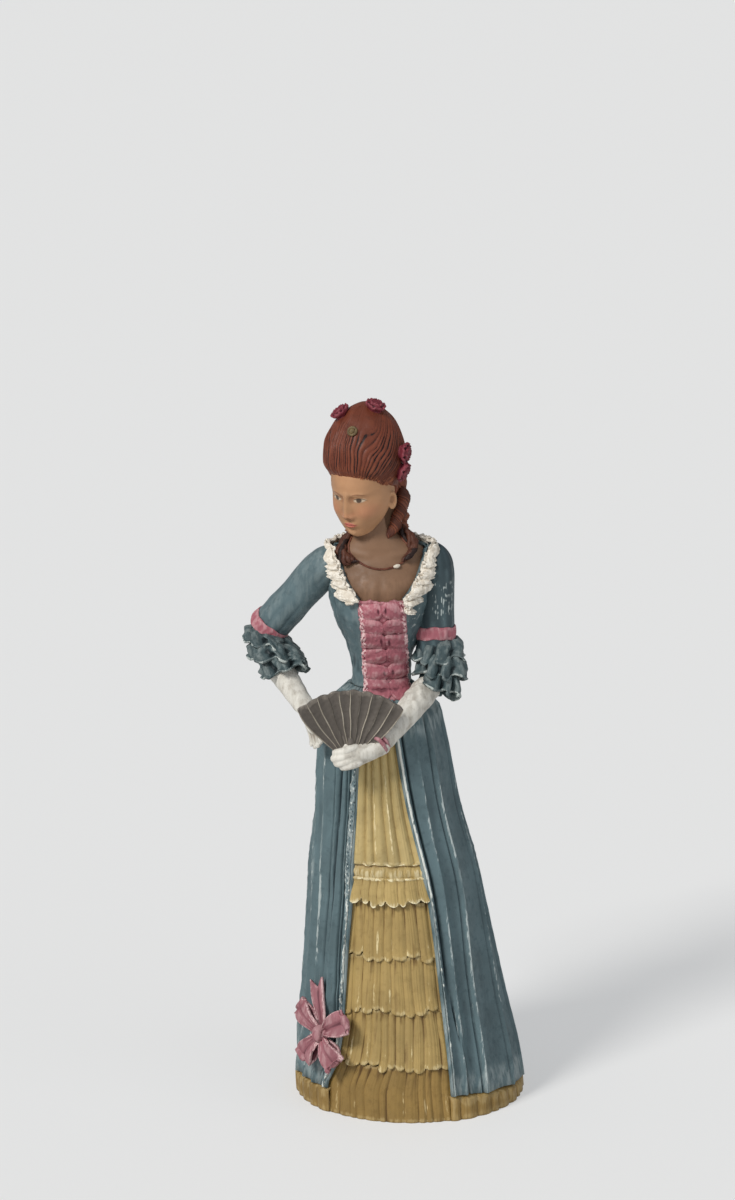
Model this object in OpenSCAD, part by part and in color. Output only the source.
// A lady figurine in eighteenth century dress: an open robe over a flounced petticoat,
// elbow cuffs, long gloves, a half-open fan and a high dressed hairstyle.
// She faces -Y and stands on the XY plane, with the origin in the middle of her base.

/* [Skirts] */
// Radius of the petticoat's hem on the base
hem_r = 11.8; // [11.2:0.1:13]
// Height of the waist seam above the base
skirt_h = 43; // [41:0.5:48]
// Outer radius of the waist
waist_r = 2.9; // [2.7:0.1:3.3]
// Sideways shift of the waist from the middle of the base
lean = 3; // [1:0.1:4]
// Thickness of the overskirt at the ridge of a fold
robe_t = 0.9; // [0.8:0.05:1.1]
// Depth of the overskirt's folds
fold_depth = 0.5; // [0.2:0.05:0.6]
// Folds round the overskirt
fold_count = 16; // [12:1:18]
// Height of the overskirt's hem above the base
robe_hem_h = 2.6; // [2:0.1:3.2]
// Width of the edging along each front edge of the overskirt
edging_w = 0.7; // [0.5:0.05:0.9]
// Thickness of that edging
edging_t = 0.3; // [0.2:0.05:0.4]

/* [Petticoat front] */
// Flounces below the frill
flounce_count = 4; // [4:1:4]
// Height of one flounce
flounce_h = 5.55; // [5.2:0.05:5.8]
// Height of the frill above the flounces
frill_h = 2.4; // [2:0.1:3]
// Height of the puff above the frill
puff_h = 1.4; // [1:0.1:2]
// Thickness of a flounce at its lower edge
flounce_t = 0.6; // [0.5:0.05:0.7]
// Depth of the petticoat's pleats
pleat_depth = 0.25; // [0.1:0.05:0.3]
// Pleats across the petticoat's front
pleat_count = 9; // [7:1:11]

/* [Bodice] */
// Height of the shoulder line above the waist seam
torso_h = 14.2; // [13.4:0.2:16]
// Half the width across the bodice at the armpits
bust_r = 5.5; // [5.1:0.1:6]
// Depth of the bodice's front from the body's axis
bust_d = 4.65; // [4.2:0.05:5.2]
// Depth of the bodice's back from the body's axis
back_d = 3.3; // [3:0.05:3.8]
// Thickness of the bodice
bodice_t = 0.5; // [0.4:0.05:0.6]
// Width of the stomacher
stomacher_w = 5; // [4.4:0.1:5.4]
// Width of the neckline at the shoulders
neckline_w = 9.2; // [8.6:0.1:9.6]
// Bows on the stomacher, one above the other
bow_count = 6; // [4:1:7]
// Width of the neckline's ruffle
ruffle_w = 1.9; // [1.5:0.1:2.2]
// Thickness of that ruffle
ruffle_t = 0.3; // [0.25:0.05:0.4]

/* [Arms] */
// Radius of a sleeve
sleeve_r = 1.85; // [1.7:0.05:2]
// Length of the left upper arm
left_arm_l = 11.6; // [11:0.1:12.4]
// Length of the left forearm
left_forearm_l = 10.6; // [10:0.1:11.2]
// Length of the right upper arm
right_arm_l = 11; // [10.4:0.1:11.6]
// Length of the right forearm
right_forearm_l = 9.9; // [9.4:0.1:10.4]
// Height of an arm's ribbon
arm_ribbon_w = 1.3; // [1:0.1:1.6]
// Thickness of an arm's ribbon
arm_ribbon_t = 0.2; // [0.15:0.05:0.3]
// Radius of a cuff at its widest
cuff_r = 3.2; // [2.7:0.1:3.3]
// Radius of the glove at the elbow
glove_r = 1.35; // [1.2:0.05:1.5]
// Radius of the wrist
wrist_r = 0.95; // [0.85:0.05:1.1]
// Length of a hand
hand_l = 3.2; // [2.9:0.1:3.5]
// Radius of a finger
finger_r = 0.36; // [0.32:0.02:0.42]
// Radius of the pegs that join the arms
peg_r = 0.8; // [0.6:0.05:0.9]

/* [Fan] */
// Length of the fan from its rivet to its edge
fan_r = 8.1; // [7:0.1:9]
// Angle that the fan is opened to
fan_open = 82; // [60:2:90]
// Sticks in the fan
stick_count = 11; // [9:2:13]
// Thickness of the fan's leaf
leaf_t = 0.3; // [0.25:0.05:0.4]
// Width of a stick
stick_w = 0.3; // [0.25:0.05:0.4]

/* [Head] */
// Height of the head from chin to crown
head_h = 9.2; // [8.6:0.1:9.8]
// Half the width of the head
head_w = 3.15; // [2.9:0.05:3.4]
// Depth of the head in front of the ears
head_d = 3.7; // [3.5:0.05:4]
// Turn of the head to her right
head_turn = 30; // [15:5:40]
// Tilt of the head downwards
head_nod = 12; // [6:2:16]
// Radius of the neck
neck_r = 1.9; // [1.8:0.05:2.1]
// Length of the neck from the shoulder line to the head's socket
neck_l = 4.2; // [3.8:0.1:4.6]
// Half the width of the dressed hair
hair_w = 4; // [3.7:0.1:4.4]
// Half the height of the dressed hair
hair_h = 4.6; // [4.2:0.1:5]
// Radius of a hanging curl
curl_r = 0.85; // [0.7:0.05:1]
// Radius of a hair rosette
rosette_r = 0.95; // [0.8:0.05:1.1]
// Radius of the necklace's cord
necklace_r = 0.22; // [0.18:0.02:0.3]

/* [Skirt bow] */
// Length of one loop of the bow
loop_l = 4.4; // [3.8:0.1:4.8]
// Width of the bow's ribbon
bow_ribbon_w = 2.2; // [1.8:0.1:2.5]
// Thickness of the bow's ribbon
bow_ribbon_t = 0.28; // [0.24:0.02:0.36]
// Height of the bow's knot above the base
bow_z = 8.2; // [8:0.1:10]

/* [Fit] */
// Glue gap between neighbouring castings
fit_gap = 0.08; // [0.05:0.01:0.1]

/* [Hidden] */

body_sides = 40;
torso_sides = 28;
arm_sides = 14;
round_fn = 24;
finger_fn = 10;

// Half width of the overskirt over its height, between the waist's and the hem's
skirt_shares = [
  [0, 1], [0.037, 0.989], [0.109, 0.955], [0.23, 0.854], [0.351, 0.77], [0.472, 0.691], [0.57, 0.629],
  [0.714, 0.495], [0.847, 0.425], [0.907, 0.375], [0.944, 0.326], [0.977, 0.169], [1, 0.045]
];
// Sideways shift of the skirts over their height
lean_shares = [[0, 0], [0.5, 0.52], [0.8, 0.88], [1, 1]];
// Depth over width at the waist, and 1 at the hem
waist_depth_share = 0.88;
// Angle of the overskirt's front edges over its height, on her left and on her right
right_edge_angles = [
  [0, 23], [0.155, 24.4], [0.295, 25.1], [0.528, 24.8], [0.763, 17.8], [0.89, 13.7], [1, 10]
];
left_edge_angles = [
  [0, -48], [0.06, -48], [0.131, -41], [0.193, -36.7], [0.288, -35.3], [0.405, -33.9], [0.523, -31.8],
  [0.642, -29.4], [0.828, -23.8], [1, -20]
];

// Bodice over its height: half width between waist and bust, then front and back depths
torso_shares = [0, 0.12, 0.28, 0.42, 0.56, 0.67, 0.775, 0.88, 0.96, 1];
width_shares = [
  [0, 0.02], [0.12, 0], [0.28, 0.25], [0.42, 0.52], [0.56, 0.79], [0.67, 0.885], [0.775, 0.96],
  [0.88, 1], [0.96, 0.9], [1, 0.72]
];
front_shares = [
  [0, 0.02], [0.12, 0], [0.28, 0.225], [0.42, 0.6], [0.56, 0.95], [0.67, 1], [0.775, 0.675],
  [0.88, 0.275], [0.96, 0.025], [1, -0.06]
];
back_shares = [
  [0, 0.2], [0.12, 0], [0.28, 0.2], [0.42, 0.47], [0.56, 0.73], [0.67, 0.87], [0.775, 1],
  [0.88, 0.87], [0.96, 0.6], [1, 0.33]
];
waist_front_share = 0.92;
waist_back_share = 0.88;
// Height of the neckline's lowest point, and its half width from there to the shoulders
neckline_share = 0.69;
neckline_shares = [[0.69, 0], [0.8, 0.5], [0.92, 0.8], [1, 1]];

torso_x = -lean;
shoulder_z = skirt_h + torso_h;
flounce_top = flounce_count * flounce_h;
frill_top = flounce_top + frill_h;
puff_top = frill_top + puff_h;

function unit(v) = v / norm(v);
function mix(a, b, share) = a + (b - a) * share;
function around(n) = [for (k = [0:n - 1]) 360 * k / n];
function steps(n) = [for (k = [0:n]) k / n];
function turn_x(p, a) = [p.x, p.y * cos(a) - p.z * sin(a), p.y * sin(a) + p.z * cos(a)];
// Distance s along a line of points, as a share of its number of steps
function along(pts, s) =
  let (k = min(floor(s * (len(pts) - 1)), len(pts) - 2), f = s * (len(pts) - 1) - k)
  pts[k] * (1 - f) + pts[k + 1] * f;

// Triangles of a grid of m rows and n columns, whose first point has the index at
function grid_faces(m, n, at, flip, wrap) = [
  for (r = [0:m - 2], c = [0:(wrap ? n - 1 : n - 2)])
    let (d = (c + 1) % n, low = at + r * n, p = low + c, q = p + n, s = low + n + d, t = low + d)
      each flip ? [[p, s, q], [p, t, s]] : [[p, q, s], [p, s, t]]
];
function quad(a, b, c, d) = [[a, b, c], [a, c, d]];
function flat(rows) = [for (r = rows) each r];

// A solid from closed rings of points, each turning anticlockwise as seen from the last ring
module loft(rings) {
  m = len(rings);
  n = len(rings[0]);
  first = [for (k = [0:2]) [for (p = rings[0]) p[k]] * [for (i = [1:n]) 1] / n];
  last = [for (k = [0:2]) [for (p = rings[m - 1]) p[k]] * [for (i = [1:n]) 1] / n];
  polyhedron(concat(flat(rings), [first, last]), concat(
    grid_faces(m, n, 0, false, true),
    [for (c = [0:n - 1]) [c, (c + 1) % n, m * n]],
    [for (c = [0:n - 1]) [(m - 1) * n + (c + 1) % n, (m - 1) * n + c, m * n + 1]]
  ));
}

// A sheet with thickness, open round its four edges
module sheet(outer, inner) {
  m = len(outer);
  n = len(outer[0]);
  k = m * n;
  polyhedron(concat(flat(outer), flat(inner)), concat(
    grid_faces(m, n, 0, false, false),
    grid_faces(m, n, k, true, false),
    [for (c = [0:n - 2]) each quad(c, c + 1, k + c + 1, k + c)],
    [for (c = [0:n - 2]) let (q = (m - 1) * n + c) each quad(q, k + q, k + q + 1, q + 1)],
    [for (r = [0:m - 2]) let (p = r * n) each quad(p, k + p, k + p + n, p + n)],
    [for (r = [0:m - 2]) let (t = r * n + n - 1) each quad(t, t + n, k + t + n, k + t)]
  ));
}

// A sheet with thickness that goes all the way round
module ring_shell(outer, inner) {
  m = len(outer);
  n = len(outer[0]);
  k = m * n;
  polyhedron(concat(flat(outer), flat(inner)), concat(
    grid_faces(m, n, 0, false, true),
    grid_faces(m, n, k, true, true),
    [for (c = [0:n - 1]) let (d = (c + 1) % n) each quad(c, d, k + d, k + c)],
    [for (c = [0:n - 1]) let (q = k - n + c, t = k - n + (c + 1) % n) each quad(q, k + q, k + t, t)]
  ));
}

// Rings round a line of points, square to it
side_ref = [0.3, 1, 0.2];
function tube_rings(pts, radii, sides) = [
  for (i = [0:len(pts) - 1])
    let (
      d = unit(pts[min(i + 1, len(pts) - 1)] - pts[max(i - 1, 0)]),
      u = unit(cross(d, side_ref)),
      v = cross(d, u)
    )
      [for (a = around(sides)) pts[i] + radii[i] * (u * cos(a) + v * sin(a))]
];

// Rings of an egg round the origin, from its foot to its top
function egg_rings(half, rows, sides, taper = 0) = [
  for (i = [0:rows])
    let (a = -84 + 168 * i / rows, t = 1 - taper * sin(a))
      [for (b = around(sides)) [half.x * t * cos(a) * sin(b), -half.y * t * cos(a) * cos(b), half.z * sin(a)]]
];

// Skirts
function skirt_axis(z) = -lean * lookup(z / skirt_h, lean_shares);
function skirt_r(z) = waist_r + (hem_r - waist_r) * lookup(z / skirt_h, skirt_shares);
function petticoat_r(z) = skirt_r(z) - robe_t - fit_gap;
function skirt_point(a, z, r) =
  let (k = 1 - (1 - waist_depth_share) * z / skirt_h)
  [skirt_axis(z) + r * sin(a), -r * k * cos(a), z];
function right_edge(z) = lookup(z / skirt_h, right_edge_angles);
function left_edge(z) = lookup(z / skirt_h, left_edge_angles);
function degrees_of(l, r) = l / r * 180 / PI;

waist_peg_r = 1.1;
waist_peg_h = 3;

module petticoat()
  color("khaki") difference() {
    loft([
      for (s = skirt_shares) let (z = s[0] * skirt_h)
        [for (a = around(body_sides)) skirt_point(a, z, petticoat_r(z))]
    ]);
    translate([torso_x, 0, skirt_h - waist_peg_h - fit_gap])
      cylinder(r = waist_peg_r + fit_gap, h = 2 * waist_peg_h, $fn = round_fn);
  }

// A piece of the petticoat's front, between the overskirt's edges and from z0 to z1
module front_piece(z0, z1, rows, t_low, t_high, wave, pleats) {
  us = steps(4 * pleats);
  function pleat(u) = wave * (0.5 + 0.5 * cos(360 * pleats * u));
  function front_point(u, z, r) =
    let (gap = degrees_of(fit_gap, r), a0 = left_edge(z) + gap, a1 = right_edge(z) - gap)
    skirt_point(a0 + (a1 - a0) * u, z, r);
  function t_at(s, u) = t_low + (t_high - t_low) * s - pleat(u);
  heights = [for (s = rows) z0 + (z1 - z0) * s];
  sheet(
    [for (i = [0:len(rows) - 1]) [for (u = us)
      front_point(u, heights[i], petticoat_r(heights[i]) + fit_gap + t_at(rows[i], u))]],
    [for (z = heights) [for (u = us) front_point(u, z, petticoat_r(z) + fit_gap)]]
  );
}

panel_rows = [0, 0.3, 0.61, 0.765, 0.86, 0.94, 1];
tier_rows = [0, 0.5, 1];
puff_rows = [0, 0.25, 0.75, 1];
seam_t_share = 0.45;

module petticoat_front()
  color("khaki") front_piece(puff_top + fit_gap, skirt_h, panel_rows, flounce_t, flounce_t, pleat_depth,
    pleat_count - 2);
module puff_band()
  color("khaki") front_piece(frill_top + fit_gap, puff_top, puff_rows, flounce_t, flounce_t,
    pleat_depth / 2, pleat_count);
module frill_band()
  color("khaki") front_piece(flounce_top + fit_gap, frill_top, tier_rows, flounce_t + pleat_depth / 2,
    flounce_t * seam_t_share + pleat_depth, pleat_depth, pleat_count);
module flounce(i) {
  low = (flounce_count - i) * flounce_h;
  color("khaki") front_piece(max(low, robe_hem_h) + fit_gap, low + flounce_h, tier_rows,
    flounce_t + pleat_depth, flounce_t * seam_t_share + pleat_depth, pleat_depth, pleat_count);
}

hem_pleats = 26;
module hem_flounce() {
  top = robe_hem_h - fit_gap;
  slope = hem_r - skirt_r(top) + fold_depth / 2;
  function hem_out(a, s) = hem_r - slope * s - pleat_depth * (0.5 + 0.5 * cos(hem_pleats * a));
  angles = around(4 * hem_pleats);
  color("goldenrod") ring_shell(
    [for (s = tier_rows) [for (a = angles) skirt_point(a, top * s, hem_out(a, s))]],
    [for (s = tier_rows) [for (a = angles) skirt_point(a, top * s, petticoat_r(top * s) + fit_gap)]]
  );
}

robe_rows = [0, 0.18, 0.31, 0.44, 0.545, 0.7, 0.845, 0.9, 0.95, 1];
robe_us = steps(4 * fold_count);
function robe_angle(u, z) = right_edge(z) + u * (360 + left_edge(z) - right_edge(z));
function robe_fold(u, z) =
  let (w = min(1, min(u, 1 - u) * fold_count))
  fold_depth * w * (1 - 0.45 * z / skirt_h) * (0.5 - 0.5 * cos(360 * fold_count * u));

module overskirt() {
  heights = [for (s = robe_rows) robe_hem_h + (skirt_h - robe_hem_h) * s];
  color("cadetblue") sheet(
    [for (z = heights) [for (u = robe_us) skirt_point(robe_angle(u, z), z, skirt_r(z) - robe_fold(u, z))]],
    [for (z = heights) [for (u = robe_us) skirt_point(robe_angle(u, z), z, petticoat_r(z) + fit_gap)]]
  );
}

edging_rows = 18;
edging_top_share = 0.93;
edging_dip_share = 0.7;
module edging(side) {
  heights = [for (s = steps(edging_rows)) mix(robe_hem_h, skirt_h * edging_top_share, s)];
  function edge_point(z, s, t) =
    let (r = skirt_r(z) + fit_gap + t, a = side > 0 ? right_edge(z) : left_edge(z))
    skirt_point(a + side * degrees_of(edging_w * s + fit_gap, r), z, r);
  function edge_t(i) = edging_t * (i % 2 == 0 ? 1 : edging_dip_share);
  across = side > 0 ? [0, 1] : [1, 0];
  color("gainsboro") sheet(
    [for (i = [0:edging_rows]) [for (s = across) edge_point(heights[i], s, edge_t(i))]],
    [for (z = heights) [for (s = across) edge_point(z, s, 0)]]
  );
}

// Torso
function torso_w(s) = mix(waist_r, bust_r, lookup(s, width_shares));
function torso_f(s) = mix(waist_r * waist_front_share, bust_d, lookup(s, front_shares));
function torso_b(s) = mix(waist_r * waist_back_share, back_d, lookup(s, back_shares));
function torso_z(s) = mix(skirt_h + fit_gap, shoulder_z, s);
// A point round the torso at angle a and height share s, set out from the bodice's surface
function torso_point(a, s, out) =
  let (y = cos(a) > 0 ? torso_f(s) : torso_b(s))
  [torso_x + (torso_w(s) + out) * sin(a), -(y + out) * cos(a), torso_z(s)];
function torso_ring(s, out) = [for (a = around(torso_sides)) torso_point(a, s, out)];
function opening_half(s) =
  mix(stomacher_w, neckline_w, s < neckline_share ? 0 : lookup(s, neckline_shares)) / 2;
function opening_angle(s) = asin(min(1, opening_half(s) / torso_w(s)));

skin_out = -bodice_t - fit_gap;
neck_x = torso_x - bust_r / 11;
neck_base_h = 1.1;
neck_slope_shares = [[0.45, 0.42], [1, 0.06]];
neck_top = shoulder_z + neck_l;

// The body under the bodice, which shows at the neckline, with a true cylinder for the neck
module chest_solid(out) {
  slope_w = torso_w(1) + skin_out - neck_r;
  slope_d = torso_b(1) + skin_out - neck_r;
  function slope_point(a, n) = [
    neck_x + (neck_r + out + slope_w * n[1]) * sin(a), -(neck_r + out + slope_d * n[1]) * cos(a),
    shoulder_z + out + neck_base_h * n[0]
  ];
  loft(concat(
    [for (s = torso_shares) torso_ring(s, skin_out + out)],
    [for (n = neck_slope_shares) [for (a = around(torso_sides)) slope_point(a, n)]]
  ));
}
module chest_and_neck()
  color("burlywood") {
    chest_solid(0);
    translate([neck_x, 0, shoulder_z]) cylinder(r = neck_r, h = neck_l, $fn = round_fn);
    translate([torso_x, 0, skirt_h - waist_peg_h])
      cylinder(r = waist_peg_r, h = waist_peg_h + neck_base_h, $fn = round_fn);
  }

bodice_us = steps(26);
bodice_shares = [0, 0.12, 0.28, 0.42, 0.56, 0.67, 0.73, 0.8, 0.88, 0.96, 1];
module bodice() {
  function bodice_row(s, out) =
    let (b = opening_angle(s)) [for (u = bodice_us) torso_point(mix(b, 360 - b, u), s, out)];
  color("cadetblue") sheet(
    [for (s = bodice_shares) bodice_row(s, 0)],
    [for (s = bodice_shares) bodice_row(s, -bodice_t)]
  );
}

stomacher_shares = [0, 0.12, 0.28, 0.42, 0.56, 0.67];
stomacher_us = steps(8);
function stomacher_point(u, s, out) =
  let (b = opening_angle(s) - degrees_of(fit_gap, torso_w(s)))
  torso_point(mix(-b, b, u), s, out);
module stomacher()
  color("palevioletred") sheet(
    [for (s = stomacher_shares) [for (u = stomacher_us) stomacher_point(u, s, 0)]],
    [for (s = stomacher_shares) [for (u = stomacher_us) stomacher_point(u, s, -bodice_t)]]
  );

bow_t = 0.45;
bow_pitch_share = 0.66 / bow_count;
// Each bow has two lobes, drawn in at the middle
bow_rows = [0.06, 0.5, 0.94];
function lobe(u, v) = bow_t * (0.35 + 0.65 * abs(sin(360 * u))) * (v == 0.5 ? 1 : 0.5);
module stomacher_bows()
  color("hotpink") for (i = [0:bow_count - 1])
    sheet(
      [for (v = bow_rows) [for (u = stomacher_us)
        stomacher_point(u, (i + v) * bow_pitch_share, fit_gap + lobe(u, v))]],
      [for (v = bow_rows) [for (u = stomacher_us) stomacher_point(u, (i + v) * bow_pitch_share, fit_gap)]]
    );

ruffle_front = 14;
ruffle_back = 20;
ruffle_low_share = 0.67;
// Places along the neckline: up the left front, round the back and down the right front
ruffle_path = concat(
  [for (i = [0:ruffle_front]) let (s = ruffle_low_share + (1 - ruffle_low_share) * i / ruffle_front)
    [opening_angle(s), s, 0]],
  [for (i = [1:ruffle_back - 1]) [90 + 180 * i / ruffle_back, 1, min(1, min(i, ruffle_back - i) / 4)]],
  [for (i = [ruffle_front:-1:0]) let (s = ruffle_low_share + (1 - ruffle_low_share) * i / ruffle_front)
    [360 - opening_angle(s), s, 0]]
);
// q runs across the ruffle, from the neckline at 0 to its free edge at 1
function ruffle_point(p, q, out) =
  let (
    front = p[0] < 180 ? 1 : -1,
    turn = (1 - p[2]) * front * degrees_of(ruffle_w * q, torso_w(p[1]) + ruffle_t),
    drop = ruffle_w * q * (0.15 + 0.6 * p[2])
  )
  torso_point(p[0] + turn, p[1], out) - [0, 0, drop];
ruffle_us = [1, 0.5, 0];
module neckline_ruffle() {
  function lift(i, q) = fit_gap + (i % 2 == 0 ? 0.28 : 1.4) * ruffle_t * q;
  function ruffle_row(q, out) =
    [for (i = [0:len(ruffle_path) - 1]) ruffle_point(ruffle_path[i], q, out + lift(i, q))];
  color("linen") sheet([for (q = ruffle_us) ruffle_row(q, ruffle_t)], [for (q = ruffle_us) ruffle_row(q, 0)]);
}

// Arms
shoulder_in_share = 0.98;
shoulder_drop = 1.9;
left_shoulder = [torso_x + bust_r * shoulder_in_share, fit_gap, shoulder_z - shoulder_drop];
right_shoulder = [torso_x - bust_r * shoulder_in_share, fit_gap, shoulder_z - shoulder_drop];
left_arm_dir = unit([0.01, -0.1, -1]);
left_forearm_dir = unit([-0.55, -0.68, -0.49]);
right_arm_dir = unit([-0.626, 0.19, -0.756]);
right_forearm_dir = unit([0.525, -0.546, -0.655]);
left_elbow = left_shoulder + left_arm_l * left_arm_dir;
right_elbow = right_shoulder + right_arm_l * right_arm_dir;
left_wrist = left_elbow + left_forearm_l * left_forearm_dir;
right_wrist = right_elbow + right_forearm_l * right_forearm_dir;
// Shoulder, elbow and wrist, then where the cuff starts on the upper arm and ends on the forearm
left_arm = [left_shoulder, left_elbow, left_wrist, 0.655, 0.28];
right_arm = [right_shoulder, right_elbow, right_wrist, 0.9, 0.58];

// The upper arm ends in a ball at the shoulder, which beds into the bodice
sleeve_shares = [
  [-0.15, 0.3], [-0.12, 0.7], [-0.04, 0.98], [0.1, 1.08], [0.35, 1.02], [0.6, 1], [0.8, 1.02], [0.9, 0.9]
];
ruffle_lift = ruffle_t * 2.4 + 2 * fit_gap;
ruffle_lift_shares = [[0.78, 0], [0.88, 0.6], [1, 1]];
// The bodice with the ruffle on it, as room for the pieces beside them
module bodice_envelope() {
  body = [for (s = torso_shares) torso_ring(s, fit_gap + ruffle_lift * lookup(s, ruffle_lift_shares))];
  cap = [[for (p = body[len(body) - 1]) [torso_x + (p.x - torso_x) / 2, p.y / 2, p.z + neck_base_h]]];
  loft(concat(body, cap));
}
module sleeve_solid(arm, out)
  loft(tube_rings([for (s = sleeve_shares) mix(arm[0], arm[1], s[0])],
    [for (s = sleeve_shares) sleeve_r * s[1] + out], arm_sides));
module sleeve(arm)
  color("cadetblue") difference() {
    sleeve_solid(arm, 0);
    bodice_envelope();
    along_dir(arm[1], arm[0] - arm[1]) cylinder(r = peg_r + fit_gap, h = sleeve_r + peg_h, $fn = round_fn);
  }
peg_h = 1.6;
module along_dir(at, dir)
  let (d = unit(dir)) translate(at) rotate([0, acos(d.z), atan2(d.y, d.x)]) children();
module band(inner, t, h) difference() {
  cylinder(r = inner + t, h = h, $fn = round_fn);
  translate([0, 0, -h]) cylinder(r = inner, h = 3 * h, $fn = round_fn);
}

module arm_ribbon(arm) {
  dir = unit(arm[1] - arm[0]);
  color("hotpink") difference() {
    along_dir(mix(arm[0], arm[1], arm[3]) - (arm_ribbon_w + fit_gap) * dir, dir)
      band(sleeve_r * 1.03 + fit_gap, arm_ribbon_t, arm_ribbon_w);
    bodice_envelope();
  }
}

// Each cuff has three gathered tiers, each straight, which turn from the upper arm to the forearm
cuff_waves = 7;
cuff_wave_share = 0.05;
cuff_turn_shares = [0, 0.3, 0.55];
function cuff_dir(arm, tier) =
  unit(mix(unit(arm[1] - arm[0]), unit(arm[2] - arm[1]), cuff_turn_shares[tier]));
function cuff_at(arm, s) = mix(mix(arm[0], arm[1], arm[3]), mix(arm[1], arm[2], arm[4]), s);
cuff_radii = [
  [1.05 * sleeve_r, 0.9 * cuff_r, 0.96 * cuff_r], [0.8 * cuff_r, 0.94 * cuff_r, 0.97 * cuff_r],
  [0.72 * cuff_r, 0.78 * cuff_r, 0.8 * cuff_r]
];
module cuff_tier(arm, tier) {
  d = cuff_dir(arm, tier);
  u = unit(cross(d, side_ref));
  v = cross(d, u);
  function wave(i, a) = cuff_radii[tier][i] * (1 + cuff_wave_share * i * cos(cuff_waves * a));
  loft([
    for (i = [0:2])
      [for (a = around(4 * cuff_waves))
        cuff_at(arm, (tier + i / 2) / 3) + (u * cos(a) + v * sin(a)) * wave(i, a)]
  ]);
}
// A tier ends at the plane that the tier above it ends on, and is hollow for the arm
module cuff(arm, tier)
  color("cadetblue") difference() {
    cuff_tier(arm, tier);
    if (tier > 0) let (d = cuff_dir(arm, tier - 1))
      along_dir(cuff_at(arm, tier / 3) + fit_gap * d, -d)
        cylinder(r = 2 * cuff_r, h = 2 * cuff_r, $fn = round_fn);
    sleeve_solid(arm, fit_gap);
    forearm(arm[1], arm[2], fit_gap);
    skirt_envelope();
    bodice_envelope();
  }
forearm_shares = [[-0.12, 0.55], [0, 1], [0.2, 1.05], [0.45, 1], [0.8, 0.8], [1.02, 0.7]];
module forearm(elbow, wrist, out)
  loft(tube_rings([for (s = forearm_shares) mix(elbow, wrist, s[0])],
    [for (s = forearm_shares) glove_r * s[1] + out], arm_sides));
module skirt_solid(out)
  loft([
    for (s = skirt_shares) let (z = s[0] * skirt_h)
      [for (a = around(body_sides)) skirt_point(a, z + fit_gap, skirt_r(z) + out)]
  ]);
// The overskirt with its edging on it, as room for the pieces beside them
module skirt_envelope() skirt_solid(edging_t + 2 * fit_gap);

module limb(pts, radii)
  for (i = [0:len(pts) - 2])
    hull() {
      translate(pts[i]) sphere(r = radii[i], $fn = finger_fn);
      translate(pts[i + 1]) sphere(r = radii[i + 1], $fn = finger_fn);
    }

// A hand from its wrist, with the fingers along dir and spread across side
module hand(wrist, dir, side, curl, spread) {
  up = cross(side, dir);
  palm = wrist + hand_l * 0.42 * dir;
  limb([wrist, palm - side * finger_r, palm + side * finger_r, wrist],
    [wrist_r * 0.9, finger_r * 2, finger_r * 2, wrist_r * 0.9]);
  for (k = [-1.5:1:1.5]) {
    root = palm + side * k * finger_r * spread;
    knuckle = root + hand_l * 0.32 * dir - up * finger_r * curl * 0.4;
    tip = knuckle + hand_l * 0.26 * unit(dir - up * curl);
    limb([root, knuckle, tip], [finger_r * 1.15, finger_r, finger_r * 0.85]);
  }
  thumb = wrist + hand_l * 0.2 * dir - side * finger_r * 2;
  thumb_tip = thumb + hand_l * 0.34 * unit(dir - side * 0.5 + up * 0.2);
  limb([thumb, thumb_tip], [finger_r * 1.2, finger_r * 0.9]);
}

module glove(arm, pose)
  color("whitesmoke") difference() {
    union() {
      forearm(arm[1], arm[2], 0);
      along_dir(arm[1], arm[0] - arm[1]) cylinder(r = peg_r, h = sleeve_r + peg_h - fit_gap, $fn = round_fn);
      hand(arm[2], pose[0], pose[1], pose[2], pose[3]);
    }
    skirt_envelope();
    fan_place() fan_socket();
    fan_place() fan_room();
  }

// The way the fingers point, the way across them, then how much they curl and spread
fist_curl_share = 1.1;
fist_spread_share = 1.7;
flat_curl_share = 0.3;
flat_spread_share = 1.6;
left_hand = [unit([-0.96, -0.1, -0.28]), unit([-0.28, 0.1, 0.96]), fist_curl_share, fist_spread_share];
right_hand = [unit([0.32, -0.36, -0.88]), unit([0.5, -0.8, 0.3]), flat_curl_share, flat_spread_share];

bracelet_t = 0.28;
bracelet_w = 0.9;
module bracelet()
  color("hotpink") difference() {
    along_dir(left_wrist - left_forearm_dir * bracelet_w, left_forearm_dir)
      band(wrist_r + 2 * fit_gap, bracelet_t, bracelet_w);
    fan_place() fan_room();
  }

// Fan: its grip lies in the left hand, and its sticks open upwards
fan_turn = 0.5;
fan_lean = 2;
fan_pivot = left_wrist + [-hand_l * 0.84, -wrist_r * 0.4, -hand_l * 0.6];
grip_share = 0.33;
grip_r = 0.45;
grip_foot_share = 0.1;
// Angle left free beside the fan
fan_play = 4;
pleat_h = 0.32;
module fan_place()
  translate(fan_pivot) rotate([-fan_lean, 0, 0]) rotate([0, -fan_turn, 0]) children();
function stick_angle(i) = fan_open * (i / (stick_count - 1) - 0.5);
function fan_point(i, r, y) = [r * sin(stick_angle(i)), y, r * cos(stick_angle(i))];
module fan_leaf() {
  cols = [0:2 * stick_count - 2];
  radii = [grip_share * fan_r + fit_gap, (1 + grip_share) / 2 * fan_r, fan_r];
  function fold_y(c, r) = (c % 2 == 0 ? 0 : pleat_h) * r / fan_r;
  color("dimgray") fan_place() sheet(
    [for (r = radii) [for (c = cols) fan_point(c / 2, r, fold_y(c, r) - leaf_t)]],
    [for (r = radii) [for (c = cols) fan_point(c / 2, r, fold_y(c, r))]]
  );
}
stick_foot_share = 0.36;
stick_l_share = 0.63;
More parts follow.
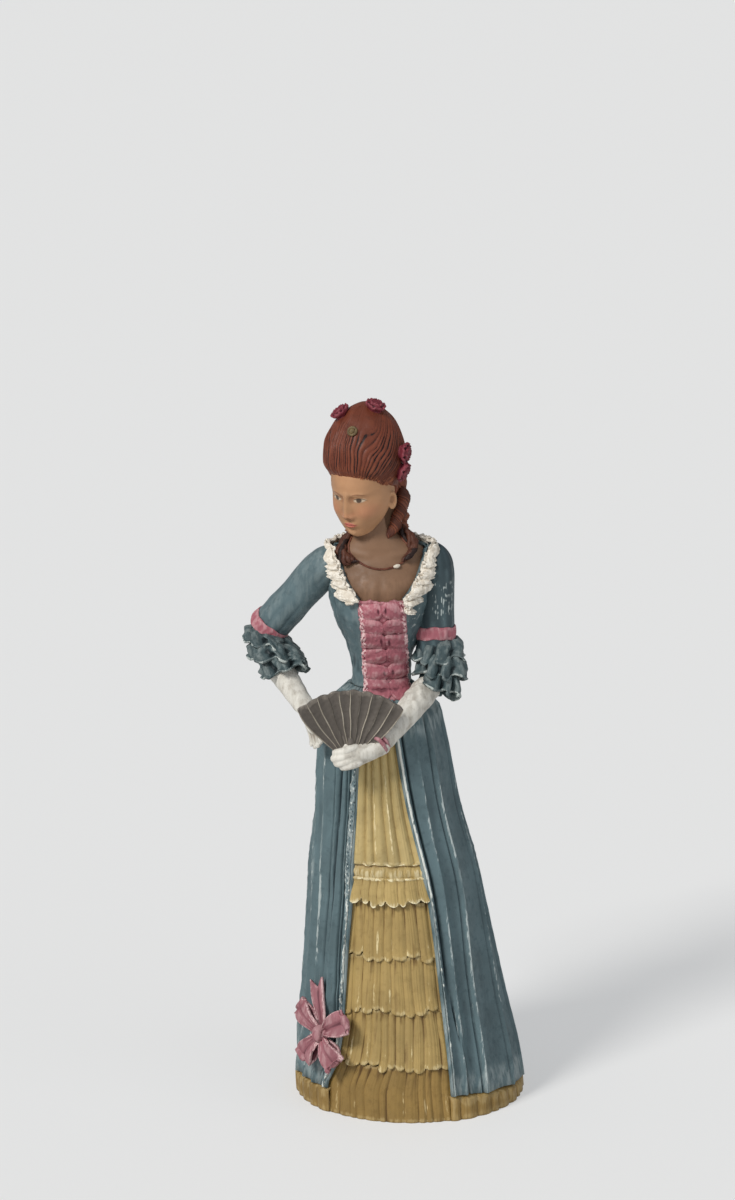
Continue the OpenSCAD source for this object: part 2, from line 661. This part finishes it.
module fan_sticks()
  color("antiquewhite") fan_place() for (i = [0:stick_count - 1])
    rotate([0, stick_angle(i), 0])
      translate([-stick_w / 2, -leaf_t - fit_gap - stick_w, fan_r * stick_foot_share])
        cube([stick_w, stick_w, fan_r * stick_l_share]);
module fan_grip()
  color("antiquewhite") fan_place() translate([0, 0, grip_foot_share * fan_r])
    cylinder(r = grip_r, h = (grip_share - grip_foot_share) * fan_r, $fn = round_fn);
module fan_socket()
  translate([0, 0, -fan_r]) cylinder(r = grip_r + fit_gap, h = 2 * fan_r, $fn = round_fn);
// The room that the leaf and its sticks take up, for the pieces beside them
module fan_room() {
  back = pleat_h + fit_gap;
  depth = back + leaf_t + stick_w + 2 * fit_gap;
  translate([0, back, 0]) rotate([90, 0, 0]) linear_extrude(height = depth)
    polygon(concat([[0, grip_share * fan_r - 2 * fit_gap]],
      [for (i = [-6:6]) let (a = i * (fan_open + fan_play) / 12) fan_r * [sin(a), cos(a)]]));
}

// Head, in its own frame, with the face towards -Y
head_shift = bust_r * 0.31;
head_c = [torso_x - head_shift, -head_d * 0.21, neck_top + head_h * 0.24];
module head_place() translate(head_c) rotate([0, 0, -head_turn]) rotate([head_nod, 0, 0]) children();
// Height, half width, front and back of the head, as shares of its own sizes
head_shares = [
  [-0.5, 0.24, 0.78, -0.45], [-0.47, 0.46, 0.9, -0.1], [-0.4, 0.6, 0.97, 0.2], [-0.3, 0.73, 0.98, 0.45],
  [-0.2, 0.82, 0.98, 0.66], [-0.12, 0.88, 0.98, 0.85], [0, 0.96, 0.95, 1.03], [0.1, 1, 1, 1.12],
  [0.2, 1, 0.99, 1.14], [0.32, 0.9, 0.88, 1.04], [0.43, 0.62, 0.6, 0.76], [0.5, 0.08, 0.06, 0.1]
];
head_sides = 30;
nose_l = 0.65;
nose_shares = [[-0.25, 0], [-0.2, 0.75], [-0.17, 1], [-0.12, 0.75], [0, 0.3], [0.08, 0.1], [0.12, 0]];
function head_point(row, k, out) =
  let (
    a = 360 * k / head_sides,
    nose = nose_l * lookup(row[0], nose_shares) * (k == 0 ? 1 : k == 1 || k == head_sides - 1 ? 0.25 : 0)
  )
  [
    (head_w * row[1] + out) * sin(a),
    head_d * (row[3] - row[2]) / 2 - (head_d * (row[2] + row[3]) / 2 + out) * cos(a) - nose,
    head_h * row[0]
  ];
module head_solid(out)
  loft([for (row = head_shares) [for (k = [0:head_sides - 1]) head_point(row, k, out)]]);
ear_r = 0.75;
module head()
  color("burlywood") difference() {
    union() {
      head_place() head_solid(0);
      head_place() for (m = [-1, 1])
        translate([m * head_w * 0.9, ear_r / 2, -head_h * 0.08]) rotate([0, 90 + m * 10, 0])
          cylinder(r = ear_r, h = ear_r, center = true, $fn = round_fn);
    }
    neck_clear(neck_l + fit_gap);
  }

hair_lean = 20;
hair_taper = 0.16;
module pouf_solid() translate([0, head_d * 0.25, head_h * 0.4]) rotate([-hair_lean, 0, 0])
  loft(egg_rings([hair_w, hair_w * 1.1, hair_h], 12, 28, hair_taper));
module hair_pouf()
  color("sienna") difference() {
    head_place() pouf_solid();
    head_place() head_solid(fit_gap);
    neck_clear(2 * neck_l);
  }
module neck_clear(h)
  translate([neck_x, 0, shoulder_z]) cylinder(r = neck_r + fit_gap, h = h, $fn = round_fn);
module chignon_solid(out)
  translate([0, head_d * 0.85, -head_h * 0.1])
    loft(egg_rings([hair_w * 0.7 + out, hair_w * 0.6 + out, hair_h * 0.62 + out], 8, 20));
module hair_chignon()
  color("sienna") difference() {
    head_place() chignon_solid(0);
    head_place() pouf_solid();
    head_place() head_solid(fit_gap);
    neck_clear(2 * neck_l);
  }

// Curls that hang behind the ears and the neck: foot, bend and top of each, in widths of the head
curl_places = [
  [[0.85, 0.5, -0.66], [1.02, 0.38, -0.3], [0.96, 0.45, -0.06]],
  [[-0.85, 0.5, -0.66], [-1.02, 0.38, -0.3], [-0.96, 0.45, -0.06]],
  [[0.62, 0.95, -0.78], [0.72, 1, -0.45], [0.6, 0.95, -0.3]],
  [[-0.62, 0.95, -0.78], [-0.72, 1, -0.45], [-0.6, 0.95, -0.3]],
  [[0, 1.2, -0.85], [0, 1.3, -0.5], [0, 1.15, -0.33]]
];
curl_rings = 9;
curl_dip_share = 0.82;
module curl(c) {
  places = [for (s = steps(curl_rings)) along(c, s)];
  loft(tube_rings(
    [for (p = places) [p.x * head_w, p.y * head_d, p.z * head_h]],
    [for (i = [0:curl_rings]) curl_r * sin(20 + 140 * i / curl_rings) * (i % 2 == 0 ? 1 : curl_dip_share)], 10
  ));
}
module hair_curls()
  color("sienna") difference() {
    head_place() for (c = curl_places) curl(c);
    head_place() pouf_solid();
    head_place() head_solid(fit_gap);
    head_place() chignon_solid(fit_gap);
    neck_clear(2 * neck_l);
    bodice_envelope();
  }

// Rosettes on the dressed hair: angle round it and height on it
rosette_places = [[-38, 52], [75, 62], [98, -4]];
function hair_surface(p, out) =
  let (
    t = (1 - hair_taper * sin(p[1])) * cos(p[1]),
    c = [(hair_w + out) * t * sin(p[0]), -(hair_w * 1.1 + out) * t * cos(p[0]), (hair_h + out) * sin(p[1])]
  )
  turn_x(c, -hair_lean) + [0, head_d * 0.25, head_h * 0.4];
module hair_rosettes()
  color("brown") difference() {
    head_place() for (p = rosette_places) {
      middle = hair_surface(p, rosette_r / 4);
      for (k = [0:4]) {
        across = unit(cross(middle, [0.2, 0.3, 1]));
        over = unit(cross(middle, across));
        translate(middle + rosette_r * 0.55 * (across * cos(72 * k) + over * sin(72 * k)))
          sphere(r = rosette_r / 2, $fn = round_fn);
      }
      translate(middle) sphere(r = rosette_r * 0.6, $fn = round_fn);
    }
    head_place() pouf_solid();
  }
bead_r = 0.4;
module hair_bead()
  color("olive") difference() {
    head_place() translate(hair_surface([4, 38], bead_r / 2)) sphere(r = bead_r, $fn = round_fn);
    head_place() pouf_solid();
  }

necklace_tilt = 26;
necklace_arc = 200;
loop_r = neck_r * 1.38;
bead_turn = 58;
module necklace()
  color("peru") difference() {
    translate([neck_x, -neck_r * 0.3, shoulder_z]) rotate([necklace_tilt, 0, 0]) {
      rotate([0, 0, -90 - necklace_arc / 2]) rotate_extrude(angle = necklace_arc, $fn = 2 * round_fn)
        translate([loop_r, 0]) circle(r = necklace_r, $fn = round_fn);
      rotate([0, 0, bead_turn - 90]) translate([loop_r, 0, 0]) sphere(r = bead_r, $fn = round_fn);
    }
    chest_solid(fit_gap);
    neck_clear(2 * neck_l);
  }

// Bow on the right front of the overskirt, on a plane that touches the skirt: two loops lie over
// two short tails that hang down, and one forked tail stands up
bow_a = -47.5;
bow_at = skirt_point(bow_a, bow_z, skirt_r(bow_z) + fit_gap);
bow_tilt = atan2(skirt_r(bow_z - loop_l) - skirt_r(bow_z + loop_l), 2 * loop_l);
knot_r = 0.8;
loop_angles = [24, 148];
// Angle of each tail, then its length and width as shares of a loop's length and the ribbon's width
tail_places = [[110, 1.15, 0.75], [229, 1.05, 1.1], [312, 1.05, 1.15]];
module bow_place() translate(bow_at) rotate([90 - bow_tilt, 0, bow_a]) children();
module loop_shape() hull() {
  circle(r = bow_ribbon_t, $fn = finger_fn);
  translate([loop_l - bow_ribbon_w / 3, bow_ribbon_w / 6]) circle(r = bow_ribbon_w / 3, $fn = finger_fn);
}
module bow_loop()
  translate([0, 0, 2 * bow_ribbon_t + fit_gap]) rotate([0, -12, 0]) rotate([90, 0, 0])
    linear_extrude(height = bow_ribbon_w, center = true) difference() {
      loop_shape();
      offset(delta = -bow_ribbon_t) loop_shape();
    }
module skirt_bow_loops()
  color("hotpink") difference() {
    bow_place() for (a = loop_angles) rotate([0, 0, a]) bow_loop();
    bow_place() cylinder(r = knot_r + fit_gap, h = loop_l, $fn = round_fn);
    skirt_envelope();
  }
module bow_tail(l, w)
  linear_extrude(height = bow_ribbon_t) polygon([[0, -w / 2], [l, -w], [l - w, 0], [l, w], [0, w / 2]]);
module skirt_bow_tails()
  color("hotpink") difference() {
    bow_place() for (t = tail_places) rotate([0, 0, t[0]]) translate([knot_r + fit_gap, 0, 0])
      bow_tail(loop_l * t[1] - knot_r, bow_ribbon_w * t[2] / 2);
    skirt_solid(fit_gap / 2);
  }
module skirt_bow_knot()
  color("hotpink") bow_place() cylinder(r = knot_r, h = knot_r * 1.9, $fn = round_fn);

petticoat();
petticoat_front();
puff_band();
frill_band();
flounce(1);  // flounce_1
flounce(2);  // flounce_2
flounce(3);  // flounce_3
flounce(4);  // flounce_4
hem_flounce();
overskirt();
edging(1);  // edging_left
edging(-1);  // edging_right
chest_and_neck();
bodice();
stomacher();
stomacher_bows();
neckline_ruffle();
sleeve(left_arm);  // sleeve_left
sleeve(right_arm);  // sleeve_right
arm_ribbon(left_arm);  // arm_ribbon_left
arm_ribbon(right_arm);  // arm_ribbon_right
cuff(left_arm, 0);  // cuff_top_left
cuff(left_arm, 1);  // cuff_middle_left
cuff(left_arm, 2);  // cuff_bottom_left
cuff(right_arm, 0);  // cuff_top_right
cuff(right_arm, 1);  // cuff_middle_right
cuff(right_arm, 2);  // cuff_bottom_right
glove(left_arm, left_hand);  // glove_left
glove(right_arm, right_hand);  // glove_right
bracelet();
fan_leaf();
fan_sticks();
fan_grip();
head();
hair_pouf();
hair_chignon();
hair_curls();
hair_rosettes();
hair_bead();
necklace();
skirt_bow_loops();
skirt_bow_tails();
skirt_bow_knot();
